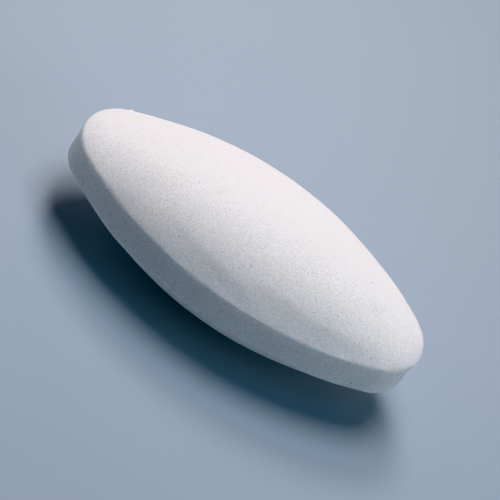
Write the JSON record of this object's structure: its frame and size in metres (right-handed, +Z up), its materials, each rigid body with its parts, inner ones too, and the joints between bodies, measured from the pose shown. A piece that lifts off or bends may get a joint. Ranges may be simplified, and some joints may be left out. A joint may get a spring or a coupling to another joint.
{
  "type": "magnetic stir bar",
  "caption": "Pointed oval stir bar: a rod magnet sealed in a smooth white moulded casing with domed top and underside and a straight belly band.",
  "frame": {"origin": "middle of the small flat on the lower crown, where the bar touches the vessel's floor and about which it spins", "axes": "+X along the bar and its rod magnet, +Y across it, +Z up along the spin axis"},
  "size_m": [0.04, 0.02, 0.0142],
  "materials": {
    "casing": "matte white moulded fluoropolymer, faintly translucent, with fine dark specks and a few shallow marks",
    "magnet": "ground dark grey magnet alloy"
  },
  "bodies": {
    "root": {"casing": "casing", "magnet": "magnet"}
  },
  "joints": []
}
